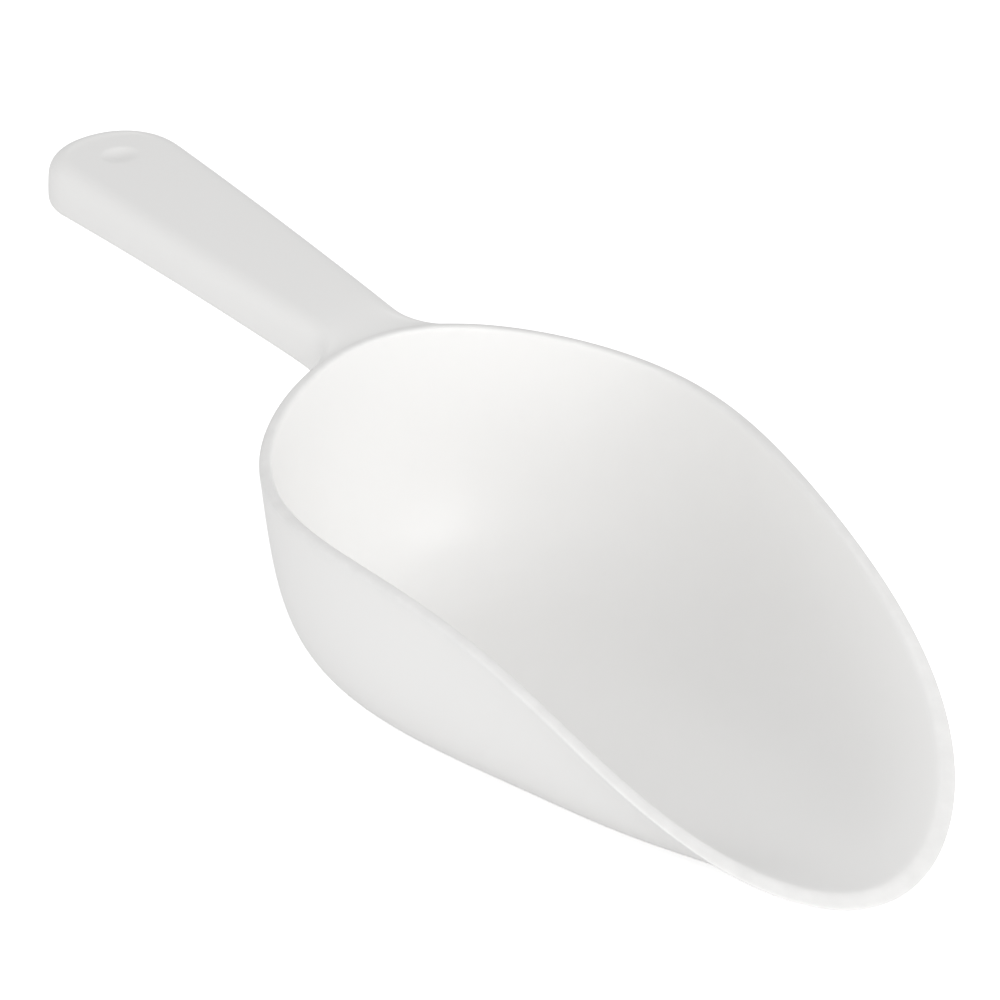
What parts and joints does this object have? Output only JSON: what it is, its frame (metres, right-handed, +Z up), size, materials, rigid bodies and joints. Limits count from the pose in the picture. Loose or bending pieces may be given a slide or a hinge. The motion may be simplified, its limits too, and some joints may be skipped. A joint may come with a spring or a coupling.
{
  "type": "ice scoop",
  "caption": "One-hand white plastic scoop with a deep rounded bowl, a low open nose and a flat-topped hollow handle.",
  "frame": {"origin": "on the plane of the flat underside, below the middle of the scoop's overall length", "axes": "+X from the handle's end to the bowl's nose, +Y to the left of someone who looks along +X, +Z up"},
  "size_m": [0.285, 0.0992, 0.068],
  "materials": {
    "bowl_plastic": "moulded satin",
    "handle_plastic": "moulded satin"
  },
  "bodies": {
    "root": {"bowl": "bowl_plastic", "handle": "handle_plastic"}
  },
  "joints": []
}
